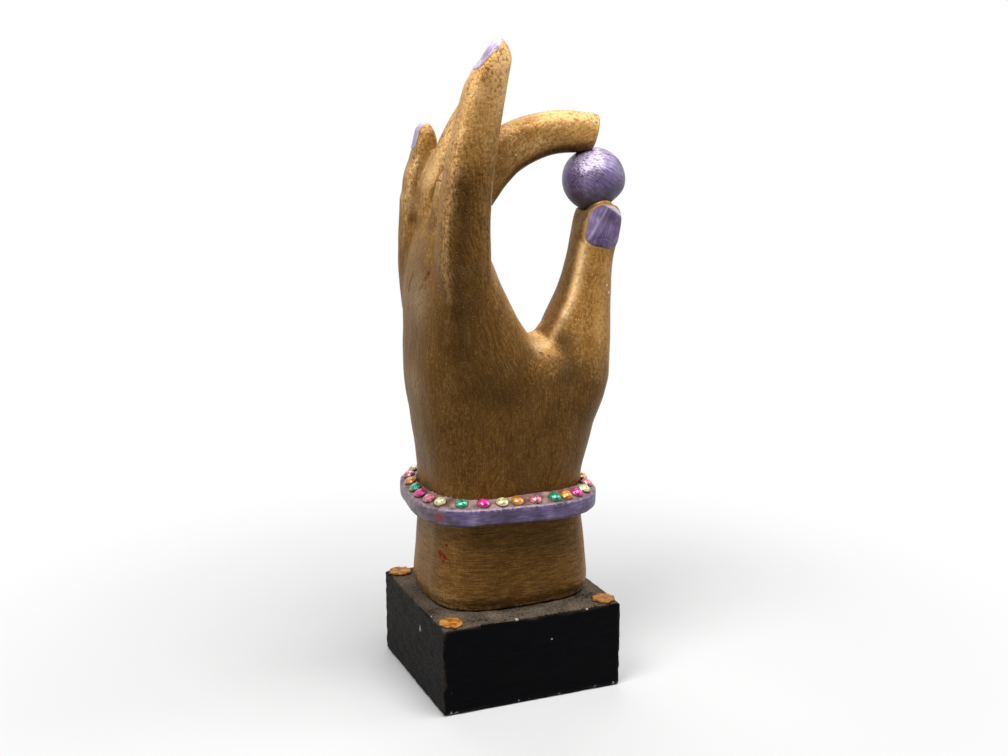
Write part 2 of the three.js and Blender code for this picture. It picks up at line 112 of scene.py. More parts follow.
class Finish(Nodes):
    def __init__(self, name):
        self.material = bpy.data.materials.new(name)
        self.material.use_nodes = True
        super().__init__(self.material.node_tree)
        self.where = self.node("ShaderNodeTexCoord", output="Object")

    # noise whose marks have the given size in millimetres, one number or three that lean over from upright
    def grain(self, size, detail, seed, lean=0.0):
        sizes = size if isinstance(size, tuple) else (size, size, size)
        spot = self.node("ShaderNodeMapping", {
            "Vector": self.where, "Location": (seed, seed, seed), "Rotation": (0, math.radians(lean), 0),
            "Scale": tuple(length * mm for length in sizes)}, {"vector_type": "TEXTURE"})
        return self.node("ShaderNodeTexNoise", {"Vector": spot, "Scale": 1.0, "Detail": detail})

    def ramp(self, value, stops):
        color = self.node("ShaderNodeValToRGB", {"Fac": value})
        elements = color.out.node.color_ramp.elements
        while len(elements) < len(stops):
            elements.new(1)
        for element, (position, tone) in zip(elements, stops):
            element.position = position
            element.color = tone
        return color

    def blend(self, share, first, second):
        return self.node("ShaderNodeMix", {0: share, 6: first, 7: second}, {"data_type": "RGBA"}, 2)

    # coats of paint over a colour, each a share and its own colour
    def coated(self, color, coats):
        for share, over in coats:
            color = self.blend(share, color, over)
        return color

    def read(self, name):
        return self.node("ShaderNodeAttribute", None, {"attribute_name": name}, "Fac")

    # 1 inside a ball round a point, in millimetres, fading out over the given share of its radius
    def near(self, point, radius, wobble=0.0, fade=0.4):
        place = tuple(value * mm for value in point)
        away = self.node("ShaderNodeVectorMath", {0: self.where, 1: place},
                         {"operation": "DISTANCE"}, "Value")
        return self.step(away + wobble, radius * mm, radius * (1 - fade) * mm)

    # a smooth step along X, Y or Z between two places in millimetres
    def past(self, axis, low, high, wobble=0.0):
        place = self.node("ShaderNodeSeparateXYZ", {0: self.where}, output=axis)
        return self.step(place + wobble, low * mm, high * mm)

    def surface(self, color, roughness, metallic, bumps=(), **fixed):
        inputs = {"Base Color": color, "Roughness": roughness, "Metallic": metallic}
        for bump, depth in bumps:
            raised = {"Height": bump, "Distance": depth * mm}
            if "Normal" in inputs:
                raised["Normal"] = inputs["Normal"]
            inputs["Normal"] = self.node("ShaderNodeBump", raised)
        for name, value in fixed.items():
            inputs[name.replace("_", " ")] = value
        shader = self.node("ShaderNodeBsdfPrincipled", inputs)
        self.node("ShaderNodeOutputMaterial", {"Surface": shader})
        return self.material


# screen colour, 0 to 255, to the linear colour that nodes take
def paint(red, green, blue):
    return tuple((channel / 255) ** 2.2 for channel in (red, green, blue)) + (1.0,)


def linked(name, data):
    thing = bpy.data.objects.new(name, data)
    scene.collection.objects.link(thing)
    return thing


def applied(piece):
    graph = bpy.context.evaluated_depsgraph_get()
    mesh = bpy.data.meshes.new_from_object(piece.evaluated_get(graph))
    piece.modifiers.clear()
    piece.data = mesh
    return piece


def meshFrom(name, points, faces=()):
    mesh = bpy.data.meshes.new(name)
    mesh.from_pydata(points, [], faces)
    return mesh


# a mesh open for editing
@contextmanager
def edited(mesh):
    shape = bmesh.new()
    shape.from_mesh(mesh)
    yield shape
    shape.to_mesh(mesh)
    shape.free()


def weld(shape):
    bmesh.ops.remove_doubles(shape, verts=shape.verts, dist=0.002 * mm)


# a fine even mesh of a node, with plugs from point to point of a radius that close a bore
def remeshed(name, node, voxel, plugs=()):
    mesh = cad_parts[node].data.copy()
    mesh.materials.clear()
    with edited(mesh) as shape:
        weld(shape)
        for start, end, radius in plugs:
            run = Vector(end) - Vector(start)
            place = Matrix.LocRotScale((Vector(start) + run / 2) * mm, run.to_track_quat("Z", "Y"), None)
            bmesh.ops.create_cone(shape, cap_ends=True, segments=24, radius1=radius * mm,
                                  radius2=radius * mm, depth=run.length * mm, matrix=place)
    piece = linked(name, mesh)
    remesh = piece.modifiers.new("remesh", "REMESH")
    remesh.mode = "VOXEL"
    remesh.voxel_size = voxel * mm
    return applied(piece)


def fetched(items, key, width, kind=np.float32):
    flat = np.empty(len(items) * width, kind)
    items.foreach_get(key, flat)
    return flat.reshape(-1, width)


# points in millimetres
def pointsOf(mesh):
    return fetched(mesh.vertices, "co", 3).astype(float) / mm


def setPoints(mesh, points):
    mesh.vertices.foreach_set("co", (points * mm).astype(np.float32).ravel())
    mesh.update()


def normalsOf(mesh):
    return fetched(mesh.vertex_normals, "vector", 3).astype(float)


def neighbourMean(mesh):
    ends = fetched(mesh.edges, "vertices", 2, np.int32)
    one, two = ends.T
    size = len(mesh.vertices)
    count = np.maximum(np.bincount(ends.ravel(), minlength=size), 1)

    def mean(values):
        columns = [np.bincount(one, column[two], size) + np.bincount(two, column[one], size)
                   for column in values.T]
        return np.stack(columns, 1) / count[:, None]
    return mean


def soften(values, mean, rounds):
    for _ in range(rounds):
        values = 0.5 * values + 0.5 * mean(values)
    return values


# softened, then given back what the softening took off
def sharpened(values, mean, rounds):
    soft = soften(values, mean, rounds)
    return soft + soften(values - soft, mean, rounds)


# from 0 at low to 1 at high, either way up
def smoothStep(values, low, high):
    share = np.clip((values - low) / (high - low), 0, 1)
    return share * share * (3 - 2 * share)


# 1 at nothing, falling away over a width
def bell(values, width):
    return np.exp(-(values / width) ** 2)


def wander(points, size, seed):
    return np.array([noise.noise(spot) for spot in points / np.array(size) + seed])


# layers of noise, each a depth and a size in millimetres and a seed
def uneven(points, layers):
    return sum(depth * wander(points, size, seed) for depth, size, seed in layers)


def store(mesh, name, values):
    mesh.attributes.new(name, "FLOAT", "POINT").data.foreach_set("value", values.astype(np.float32))


# how hollow and how proud the surface is at a scale set by the rounds of softening
def storeRelief(mesh, rounds, full):
    points = pointsOf(mesh)
    lift = ((soften(points, neighbourMean(mesh), rounds) - points) * normalsOf(mesh)).sum(1)
    store(mesh, "hollow", smoothStep(lift, 0.15 * full, full))
    store(mesh, "proud", smoothStep(-lift, 0.15 * full, full))


# a finished piece rides on the body in place of the named nodes
def dress(piece, slot, nodes=(), material=None):
    if material:
        piece.data.materials.append(material)
    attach(piece, "root")
    if nodes:
        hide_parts(*nodes)
    print(piece.name, sum(len(face.vertices) - 2 for face in piece.data.polygons), "triangles")


# pearly violet paint, brushed on
violetTones = [(0.36, paint(58, 44, 70)), (0.46, paint(84, 68, 104)), (0.55, paint(108, 91, 134)),
               (0.68, paint(156, 139, 174))]
# a paler copy of the violet for every nail but the thumb's: painted light
litNailTones = [(0.36, paint(126, 112, 143)), (0.46, paint(153, 140, 170)), (0.56, paint(174, 163, 189)),
             (0.68, paint(199, 190, 208))]


# the paint and its strokes
def violetColor(finish, size, lean, tones):
    strokes = finish.grain(size, 2.0, 11.3, lean)
    patches = finish.grain(9, 3.0, 13.1)
    return finish.ramp(strokes * 0.4 + patches * 0.6, tones), strokes


# nails: middle, the way along and the way out, width, length, rise and the slope of a side facet
handNails = {
    "thumb": ((43.5, -21.1, 214.6), (0.22, 0.09, 0.97), (0.02, -1, 0.09), 16.5, 19, 0.35, 0.14),
    "first": ((-11.1, -21.5, 292), (0.67, -0.11, 0.74), (-0.71, 0.22, 0.67), 12, 24, 0.1, 0),
    "ring": ((-8.6, 9, 276.9), (0.6, 0, 0.8), (-0.8, 0, 0.6), 11, 13, 0.35, 0),
    "little": ((-30.2, 24.2, 254.6), (0.23, 0, 0.97), (-0.93, 0.28, 0.22), 9.5, 13, 0.15, 0)}
bentNails = {"middle": ((36.3, -1.6, 260.4), (0.97, -0.16, -0.16), (0.2, 0.82, 0.53), 10, 13, 0.35, 0)}


# gold paint over brown, brushed along the fingers and round the wrist; its darker palm front is painted shade
# painted highlights too: paler gold on faces that look up, glints along ridges and pale marks
goldTones = {
    "soot": paint(26, 17, 8), "umber": paint(40, 24, 7), "deep": paint(106, 70, 29),
    "bronze": paint(146, 104, 52), "gold": paint(172, 128, 73), "pale": paint(222, 184, 130),
    "shine": paint(236, 194, 138), "smudge": paint(66, 52, 38), "ash": paint(192, 166, 128),
    "red": paint(126, 22, 10), "chip": paint(226, 220, 206)}
# the browns of the painted shade
umberTones = [(0.42, paint(42, 25, 7)), (0.5, paint(70, 45, 15)), (0.58, paint(108, 76, 35))]
# size, detail and seed of each noise
goldGrains = {
    "patches": ((22, 22, 30), 3.0, 5.9), "stipple": ((1.3, 1.3, 1.6), 3.0, 7.3),
    "flakesAndSparkle": ((0.55, 0.55, 0.7), 2.0, 9.7), "hairs": ((0.5, 0.5, 7), 2.0, 1.3),
    "slant": ((0.6, 0.6, 6), 2.0, 1.9), "rings": ((6, 6, 0.6), 2.0, 2.1),
    "upright": ((6, 6, 20), 4.0, 3.7), "level": ((14, 14, 4), 4.0, 4.3)}
gold = {
    "wristTop": (86, 98), "lean": (34, -24), "leanHeight": (130, 150),
    "smooth": (38, -20, 188), "smoothReach": 44, "smoothShare": 0.35, "thumbReach": 20,
    "broad": 0.22, "patches": 0.3, "fine": 0.48, "wristBrush": 0.16, "fray": 0.0022, "softFade": 0.9,
    "chipFade": 0.3, "metal": 0.2, "rough": 0.42, "strokeBump": 0.1, "stippleBump": 0.36, "gloss": 0.2,
    "sheen": (1.0, 0.74, 0.4, 1.0), "softTones": ("pale", "ash", "smudge")}
# soft marks and then sharp chips: tone, place and radius in millimetres, share
goldMarks = [
    # the pale marks are painted highlights
    ("pale", (-9, -27, 286), 30, 0.95), ("pale", (-30.6, 9, 240), 11, 0.7),
    ("pale", (-38, 19, 226), 10, 0.7), ("pale", (42, -22.5, 227.5), 6, 0.6),
    # ash: greyish pale patches on the left side, and at the web of the thumb a painted highlight
    ("ash", (-41.9, -7.2, 184), 17, 0.4), ("ash", (9.5, -20.5, 164), 8, 0.8),
    ("ash", (-42, -4, 146), 15, 0.3), ("smudge", (23, -23.6, 164), 9, 0.6),
    ("smudge", (24, -28, 152), 11, 0.8),
    ("soot", (10.5, -25, 159.8), 1.5, 0.5), ("soot", (13.6, -25.4, 158.6), 1, 0.5),
    ("red", (-35.2, -13.9, 67.6), 1.9, 1), ("red", (-34.2, -16.8, 66.6), 1.5, 1),
    ("red", (-34.6, -15.8, 64), 1.1, 1), ("red", (-33.4, -17.5, 72.2), 0.9, 1),
    ("chip", (44.2, -21.9, 188), 0.6, 1), ("chip", (45.6, -21, 184.4), 0.8, 1),
    ("chip", (2, -14.6, 247.4), 0.55, 1)]


# strokes lean over from upright; brushed is the share of the strokes in the tone
def goldFinish(name, lean, brushed):
    finish = Finish(name)
    pale, deep = goldTones["pale"], goldTones["deep"]
    hollow, nail, shade, glint = [finish.read(key) for key in ("hollow", "nail", "shade", "glint")]
    patches, stipple, flakesAndSparkle = [finish.grain(*goldGrains[kind]) for kind in ("patches", "stipple", "flakesAndSparkle")]
    hairs, rings, upright, level = [finish.grain(*goldGrains[kind], lean)
                                    for kind in ("hairs", "rings", "upright", "level")]
    rising, falling = [finish.grain(*goldGrains["slant"], lean + more) for more in gold["lean"]]
    smooth = finish.near(gold["smooth"], gold["smoothReach"], fade=0.5)
    stipple = between(smooth * gold["smoothShare"], stipple, 0.5)
    upper = finish.past("Z", *gold["wristTop"])
    slant = between(finish.past("Z", *gold["leanHeight"]), rising, falling)
    swept = between(finish.step(patches, 0.46, 0.56), hairs, slant)
    strokes = between(upper, rings, swept)
    broad = between(upper, level, upright)
    tone = strokes * brushed + broad * gold["broad"] + patches * gold["patches"]
    tone = tone + stipple * (gold["fine"] - brushed)
    tone = tone + (strokes - stipple) * (1 - upper) * gold["wristBrush"]
    color = finish.ramp(tone, [(0.36, deep), (0.45, goldTones["bronze"]),
                               (0.54, goldTones["gold"]), (0.68, pale)])
    # worn: the patches in which the painted highlights show
    worn = finish.step(patches + stipple * 0.6, 0.6, 1.0)
    umber = finish.ramp(strokes * 0.45 + patches * 0.3 + stipple * 0.25, umberTones)
    pits = finish.step(stipple, 0.46, 0.34) * (1 - glint) * finish.step(patches, 0.4, 0.54)
    rubbed = finish.read("proud") * finish.step(strokes + stipple, 0.8, 1.15)
    # painted highlight: paler gold on the faces that look up
    coats = [(finish.read("lit") * worn * 0.5, pale),
             # painted shade: umber in front below the fingertips, underneath, on the thumb's inner side and
             # low on the sides
             (shade * (patches * 0.6 + stipple * 0.4 + 0.45), umber),
             # painted shade: a dark band beside the ridge of the first finger and down the palm
             (finish.read("band") * (strokes * 0.5 + stipple * 0.5 + 0.3), goldTones["umber"]),
             # painted highlight: a pale glint along the ridge of the thumb
             (glint * finish.step(stipple + patches * 0.3, 0.3, 0.68), goldTones["shine"]),
             # pale flakes in the paint, partly painted sparkle, fewer in the painted shade
             (finish.step(flakesAndSparkle, 0.56, 0.72) * (0.5 - shade * 0.42), pale),
             (pits * 0.5, deep),
             (rubbed * 0.5, pale),
             (hollow * finish.step(patches + strokes, 1.2, 0.8) * 0.55, goldTones["soot"])]
    bare = pits * 0.3 + hollow * 0.6
    frayed = (stipple - 0.5) * gold["fray"]
    stippled = finish.step(stipple, 0.3, 0.55)
    for kind, place, radius, share in goldMarks:
        soft = kind in gold["softTones"]
        spot = finish.near(place, radius, frayed * radius, gold["softFade" if soft else "chipFade"]) * share
        if soft:
            spot = spot * (worn if kind == "pale" else stippled)
        if kind != "pale":
            bare = bare + spot
        coats.append((spot, goldTones[kind]))
    # the thumb's nail in the darker violet, the other nails in the paler copy, painted light
    thumbNail = finish.near(handNails["thumb"][0], gold["thumbReach"], fade=0.2)
    plate = finish.blend(thumbNail * 0.85, violetColor(finish, (0.6, 0.6, 9), 30, litNailTones)[0],
                         violetColor(finish, (0.9, 0.9, 7), 20, violetTones)[0])
    palest = litNailTones[-1][1]
    # a pale rim round the thumb's nail is a painted highlight; a dark line runs round the others
    coats += [(nail, finish.blend(finish.read("nailTip") * 0.8, plate, palest)),
              (finish.read("nailEdge") * 0.45, finish.blend(thumbNail, deep, pale))]
    metal = finish.step(bare, 0.9, 0.1) * gold["metal"] * (1 - nail * 0.5)
    rough = gold["rough"] + (stipple - 0.5) * 0.4 + bare * 0.12 - nail * 0.12
    painted = 1 - nail
    bumps = [(strokes * painted, gold["strokeBump"]), (stipple * painted, gold["stippleBump"])]
    return finish.surface(finish.coated(color, coats), rough, metal, bumps,
                          Specular_IOR_Level=gold["gloss"], Specular_Tint=gold["sheen"])


# carved hand and the bent finger, in millimetres: cuts are knife slits from point to point with a width and a
# depth, plugs close a bore, lines are ridges, glints of painted highlight and bands of painted shade with a
# width, a rise, a share and a route, pulls move what lies within a radius, front is the share of painted
# shade
hand = {
    "voxel": 0.9, "softRounds": 28, "relief": (26, 0.5), "front": 0.86,
    "uneven": [(0.3, 13, 4.1), (0.16, (5, 5, 16), 8.7)],
    "cuts": [((-39.3, -15, 198), (-41.5, -9.4, 189.5), 0.5, 0.9),
             ((-41.5, 0.6, 196), (-41.9, 5, 187), 0.45, 0.7),
             ((8.6, -24.4, 160.6), (12.6, -24.6, 160), 0.4, 0.5)],
    "plugs": [((51.9, -10, 212.5), (47.5, -10, 222.8), 2.1)],
    "lines": [
        # glints of painted highlight along the ridge of the thumb
        ("glint", 2.2, 0.45, 0.85, [
            (34, -18.2, 206), (29.5, -19.4, 189.5), (26.9, -20.2, 181.3), (23.6, -20, 175)]),
        ("glint", 1.9, 0.2, 0.55, [
            (23.6, -20, 175), (18.5, -18.5, 165.5), (14.5, -20.5, 162.5)]),
        ("glint", 2.2, 0.25, 0.0, [
            (-24.4, -23.6, 276.9), (-29.8, -26.7, 253), (-33.9, -27.3, 232.2), (-35.5, -27.6, 210),
            (-35.2, -26.2, 187.1), (-35.3, -24.7, 167)]),
        # bands of painted shade
        ("band", 5.5, 0.0, 0.85, [
            (-29.3, -29, 236), (-29.8, -30.2, 215.8), (-31, -29.8, 197.1), (-31.3, -27.9, 180)]),
        ("band", 11, 0.0, 0.68, [
            (-29, -28, 200), (-29.4, -28, 163.5), (-22, -28.7, 150), (-8, -29.2, 142)])],
    "pulls": [((-9.8, -22.5, 293.8), 10, (-0.5, 0.5, 2.3)), ((-19.5, -19, 282), 9, (-0.9, 0.3, 0.9)),
              ((-14, -20.5, 289.5), 9, (-0.85, 0.25, 0.8)), ((-35, 21, 237), 15, (-2.4, 0, 0)),
              ((42, -21.5, 225), 10.5, (0, -1.8, 4.8)), ((34.5, -11, 219.5), 9, (1.3, -0.4, 0)),
              ((17, -7, 166), 7, (-1.2, 0, 1.6))]}
bentFinger = {
    "voxel": 0.62, "softRounds": 24, "relief": (26, 0.5), "front": 0.4,
    "uneven": [(0.2, 9, 4.1), (0.14, (11, 4, 4), 8.7)],
    "cuts": [((-5, -14.4, 246.3), (0.7, -14.5, 246.4), 0.3, 0.35),
             ((0.7, -14.5, 246.4), (2.4, -14.6, 248.4), 0.3, 0.35)],
    "plugs": [], "lines": [],
    "pulls": [((41, -11, 262.5), 6, (0.8, 0, 1.2)), ((-31, -7, 236.5), 5, (-0.35, 0, -0.75))]}
footHeight = (50, 43)
glueJoint = {"center": (-19, -6, 230.6), "axis": (0.461, 0, 0.887), "level": 0.12, "beside": (6, 1.5),
             "around": (21, 17), "closing": (2.2, 0.5), "core": (12, 10)}


# finer faces round a nail, so that its edge is crisp
def refine(mesh, nail):
    center, length = Vector(nail[0]) * mm, nail[4]
    with edited(mesh) as fine:
        for reach in nailCut["fine"]:
            radius = reach * (length + nailCut["margin"]) * mm
            inside = {vertex for vertex in fine.verts if (vertex.co - center).length < radius}
            edges = [edge for edge in fine.edges if edge.verts[0] in inside and edge.verts[1] in inside]
            bmesh.ops.subdivide_edges(fine, edges=edges, cuts=1, use_grid_fill=True)


# how a nail is cut: shares of its width and length, and widths and depths in millimetres
nailCut = {
    "tipCorner": 0.7, "rootCorner": 0.6, "reach": 6, "facing": 0.1, "moonLevel": 0.28, "moonBow": 1.2,
    "tipLean": 0.3, "tipFade": (0.39, 0.45), "ridgeLean": 0.31, "ridgeSide": 0.29, "bevel": (0.1, -0.7),
    "paint": (0.15, -0.25), "grooveAt": 0.3, "grooveWidth": 0.4, "grooveDepth": 0.3, "moonWidth": 0.35,
    "moonDepth": 0.12, "ridgeWidth": 0.5, "ridgePale": 0.4, "fine": (0.72, 0.66), "margin": 2}


# signed distance to the outline of a nail, with round root corners and an arched end
def nailOutline(u, v, width, length):
    corner = np.where(v > 0, nailCut["tipCorner"], nailCut["rootCorner"]) * width / 2
    outU, outV = np.abs(u) - width / 2 + corner, np.abs(v) - length / 2 + corner
    outside = np.hypot(np.maximum(outU, 0), np.maximum(outV, 0))
    return outside + np.minimum(np.maximum(outU, outV), 0) - corner


# what a nail lifts, and where its paint, the groove round it and its pale free end are, that end partly worn
# and partly painted highlight; a moon lies across its root, a ridge with painted highlight sets off its side
# facet
def nailRelief(points, normals, nail):
    center, along, facing = [np.array(way) for way in nail[:3]]
    width, length, rise, facet = nail[3:]
    offset = points - center
    u, v, depth = offset @ np.cross(along, facing), offset @ along, offset @ facing
    hidden = (np.abs(depth) > nailCut["reach"]) | (normals @ facing < nailCut["facing"])
    distance = np.where(hidden, 2 * nailCut["reach"], nailOutline(u, v, width, length))
    plate = smoothStep(distance, *nailCut["bevel"])
    groove = bell(distance - nailCut["grooveAt"], nailCut["grooveWidth"])
    arc = v + nailCut["moonLevel"] * length + nailCut["moonBow"] * u * u / width
    moon = bell(arc, nailCut["moonWidth"]) * plate
    left = nailCut["ridgeLean"] * v - nailCut["ridgeSide"] * width - u
    lift = (rise - facet * np.maximum(left, 0)) * plate
    lift -= nailCut["grooveDepth"] * groove + nailCut["moonDepth"] * moon
    # the pale free end, partly wear and partly painted highlight, and a painted highlight along the ridge
    tip = smoothStep(v + nailCut["tipLean"] * u, *[share * length for share in nailCut["tipFade"]])
    ridge = nailCut["ridgePale"] * bell(left, nailCut["ridgeWidth"])
    pale = np.maximum(tip, ridge) * plate * (facet > 0)
    return lift, {"nail": smoothStep(distance, *nailCut["paint"]), "nailEdge": groove, "nailTip": pale}


# the way from a route of straight stretches
def routeDistance(points, route):
    ways = []
    for start, end in zip(np.array(route), np.array(route[1:])):
        run = end - start
        share = np.clip((points - start) @ run / (run @ run), 0, 1)
        ways.append(np.linalg.norm(points - start - share[:, None] * run, axis=1))
    return np.min(ways, axis=0)


# the way along the glue joint's axis between the finger's two pieces, and the way out from it
def fromJoint(points):
    offset, axis = points - np.array(glueJoint["center"]), np.array(glueJoint["axis"])
    along = offset @ axis
    return along, np.linalg.norm(offset - along[:, None] * axis, axis=1)


def besideJoint(points):
    along, away = fromJoint(points)
    return smoothStep(np.abs(along), *glueJoint["beside"]) * smoothStep(away, *glueJoint["around"])


# smoothed without shrinking, but for the crisp foot; beside the glue joint it keeps to the node's own
# surface, and its end meets the other piece
def smoothed(mesh, node, rounds):
    plain = pointsOf(mesh)
    points = sharpened(plain, neighbourMean(mesh), rounds)
    points += smoothStep(plain[:, 2], *footHeight)[:, None] * (plain - points)
    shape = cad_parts[node].data
    surface = BVHTree.FromPolygons([corner.co for corner in shape.vertices],
                                   [face.vertices for face in shape.polygons])
    beside = besideJoint(points)
    for index in np.nonzero(beside > 0.01)[0]:
        nearest = np.array(surface.find_nearest(Vector(points[index]) * mm)[0]) / mm
        points[index] += beside[index] * (nearest - points[index])
    along, away = fromJoint(points)
    gap = glueJoint["level"] - along
    closing = smoothStep(np.abs(gap), *glueJoint["closing"]) * smoothStep(away, *glueJoint["core"])
    return points + (gap * closing)[:, None] * np.array(glueJoint["axis"])


def pulled(points, pulls):
    for center, radius, move in pulls:
        away = np.linalg.norm(points - np.array(center), axis=1)
        points = points + smoothStep(away, radius, 0)[:, None] * np.array(move)
    return points


# middle and radius of the ball
def ballRound():
    low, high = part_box("ball")
    return (low + high) / 2, (high.x - low.x) / 2


# nothing of the hand within the ball and a clearance round it
def clearOfBall(points, clearance=0.2):
    middle, radius = ballRound()
    center = np.array(middle) / mm
    offset = points - center
    away = np.linalg.norm(offset, axis=1)
    return center + offset * np.maximum((radius / mm + clearance) / away, 1)[:, None]


# painted shade where the paint is browner: in front below the fingertips, underneath, on the thumb's inner
# side and low on the sides; and painted light where the surface faces up
shading = {
    "front": (0.5, 0.85), "frontFoot": (0.2, 1.0), "footHeight": (100, 190), "frontHeight": (288, 225),
    "under": (0.1, 0.6), "thumbSide": (20, 30), "thumbHeight": (140, 170), "inner": (0.45, 0.8),
    "innerSide": (8, 18), "innerShare": 0.8, "sideTop": (275, 165), "sideFoot": (85, 110),
    "sideShare": (0.6, 0.84), "upward": (0.6, 0.2), "lit": (0.05, 0.6), "litHeight": (140, 200)}


def shadeOf(points, normals, frontShare):
    def fade(values, key):
        return smoothStep(values, *shading[key])
    x, height = points[:, 0], points[:, 2]
    across, away, up = normals.T
    high = fade(height, "thumbHeight")
    offThumb = 1 - fade(x, "thumbSide") * high
    front = between(fade(height, "footHeight"), fade(-away, "frontFoot"), fade(-away, "front"))
    front *= offThumb * frontShare * fade(height, "frontHeight")
    inner = fade(-across, "inner") * fade(x, "innerSide") * high * shading["innerShare"]
    side = between(fade(height, "sideFoot"), *shading["sideShare"]) * fade(height, "sideTop")
    side *= offThumb * fade(up, "upward")
    shade = np.max([front, fade(-up, "under"), inner, side], axis=0)
    return {"shade": shade, "lit": fade(up, "lit") * fade(height, "litHeight")}


def carve(name, node, settings, nails):
    piece = remeshed(name, node, settings["voxel"], settings["plugs"])
    mesh = piece.data
    setPoints(mesh, smoothed(mesh, node, settings["softRounds"]))
    for nail in nails.values():
        refine(mesh, nail)
    beside = besideJoint(pointsOf(mesh))
    rough = pulled(pointsOf(mesh), settings["pulls"])
    points = rough + (soften(rough, neighbourMean(mesh), 2) - rough) * (1 - beside[:, None])
    setPoints(mesh, points)
    normals = normalsOf(mesh)
    lift = uneven(points, settings["uneven"]) * (1 - beside)
    for start, end, width, depth in settings["cuts"]:
        lift -= depth * bell(routeDistance(points, (start, end)), width)
    marks = {key: np.zeros(len(points)) for key in ("glint", "band", "nail", "nailEdge", "nailTip")}
    for kind, width, rise, share, route in settings["lines"]:
        close = bell(routeDistance(points, route), width)
        lift += rise * close
        marks[kind] = np.maximum(marks[kind], share * close)
    for nail in nails.values():
        raised, found = nailRelief(points, normals, nail)
        lift += raised
        marks.update({key: np.maximum(marks[key], share) for key, share in found.items()})
    setPoints(mesh, clearOfBall(points + normals * lift[:, None]))
    marks.update(shadeOf(points, normals, settings["front"]))
    for key, share in marks.items():
        store(mesh, key, share)
    storeRelief(mesh, *settings["relief"])
    mesh.shade_smooth()
    mesh.set_sharp_from_angle(angle=math.radians(55))
    return piece


dress(carve("carved_hand", "hand_carving", hand, handNails), "gold_paint", ["hand_carving"],
      goldFinish("hand_gold", 0, 0.12))
dress(carve("bent_finger", "curled_finger", bentFinger, bentNails), "gold_paint", ["curled_finger"],
      goldFinish("finger_gold", 68, 0.36))


# ball, a little out of round, pearly above with a painted highlight, brown stain and painted shade at the
# thumb
ball = {"splits": 6, "uneven": [(0.16, 8, 2.3)], "pulls": [((50, -16, 224), 10, (-0.7, 0.5, 1.0))],
        "pearlAndHighlight": paint(206, 190, 214), "highlightPlace": (37, -18, 249), "highlightReach": 16,
        "brown": paint(44, 26, 25), "seat": (40, -13, 220), "seatReach": 24}


def makeBall():
    middle, radius = ballRound()
    mesh = bpy.data.meshes.new("ball")
    with edited(mesh) as sphere:
        bmesh.ops.create_icosphere(sphere, subdivisions=ball["splits"], radius=radius)
        bmesh.ops.translate(sphere, verts=sphere.verts, vec=middle)
    points = pulled(pointsOf(mesh), ball["pulls"])
    setPoints(mesh, points + normalsOf(mesh) * uneven(points, ball["uneven"])[:, None])
    mesh.shade_smooth()
    return linked("painted_ball", mesh)


def ballFinish():
    finish = Finish("ball_violet")
    color, strokes = violetColor(finish, (7, 0.8, 0.8), 32, violetTones)
    grime = finish.grain(3, 4.0, 17.9)
    # painted highlight: pearly pale strokes over the top of the ball
    pearlAndHighlight = finish.near(ball["highlightPlace"], ball["highlightReach"], (grime - 0.5) * 0.01, 0.8)
    # brown stain and painted shade where the ball meets the thumb
    stainedAndShaded = finish.near(ball["seat"], ball["seatReach"], (grime - 0.5) * 0.012, 0.7)
    color = finish.coated(color, [(pearlAndHighlight * finish.step(strokes, 0.3, 0.6) * 0.6, ball["pearlAndHighlight"]),
                                  (stainedAndShaded * 0.9, ball["brown"]),
                                  (finish.step(grime, 0.6, 0.74) * 0.3, ball["brown"])])
    rough = 0.3 + strokes * 0.14 + stainedAndShaded * 0.2
    return finish.surface(color, rough, 0.3, [(strokes, 0.2), (grime, 0.15)], Specular_IOR_Level=0.8)


dress(makeBall(), "violet_paint", ["ball"], ballFinish())


# bracelet, pressed by hand, its sloped top worn to mauve, its left side darkened as painted shade
bracelet = {
    "voxel": 0.55, "softRounds": 6, "relief": (20, 0.35),
    "uneven": [(0.35, (16, 16, 9), 3.3), (0.16, 4, 6.1)],
    "edge": 0.71, "edgeFade": (-0.4, 0.6), "foot": (1.6, 0.6), "left": (-34, -42),
    "chip": (-39.6, -25, 88.6), "chipReach": 2.3, "dirt": paint(52, 36, 34), "worn": paint(178, 162, 188),
    "mauve": [(0.4, paint(78, 53, 43)), (0.52, paint(116, 88, 76)), (0.64, paint(150, 120, 112))]}


def makeBracelet():
    piece = remeshed("painted_bracelet", "bracelet", bracelet["voxel"])
    mesh = piece.data
    points = soften(pointsOf(mesh), neighbourMean(mesh), bracelet["softRounds"])
    setPoints(mesh, points)
    setPoints(mesh, points + normalsOf(mesh) * uneven(points, bracelet["uneven"])[:, None])
    storeRelief(mesh, *bracelet["relief"])
    mesh.shade_smooth()
    return piece


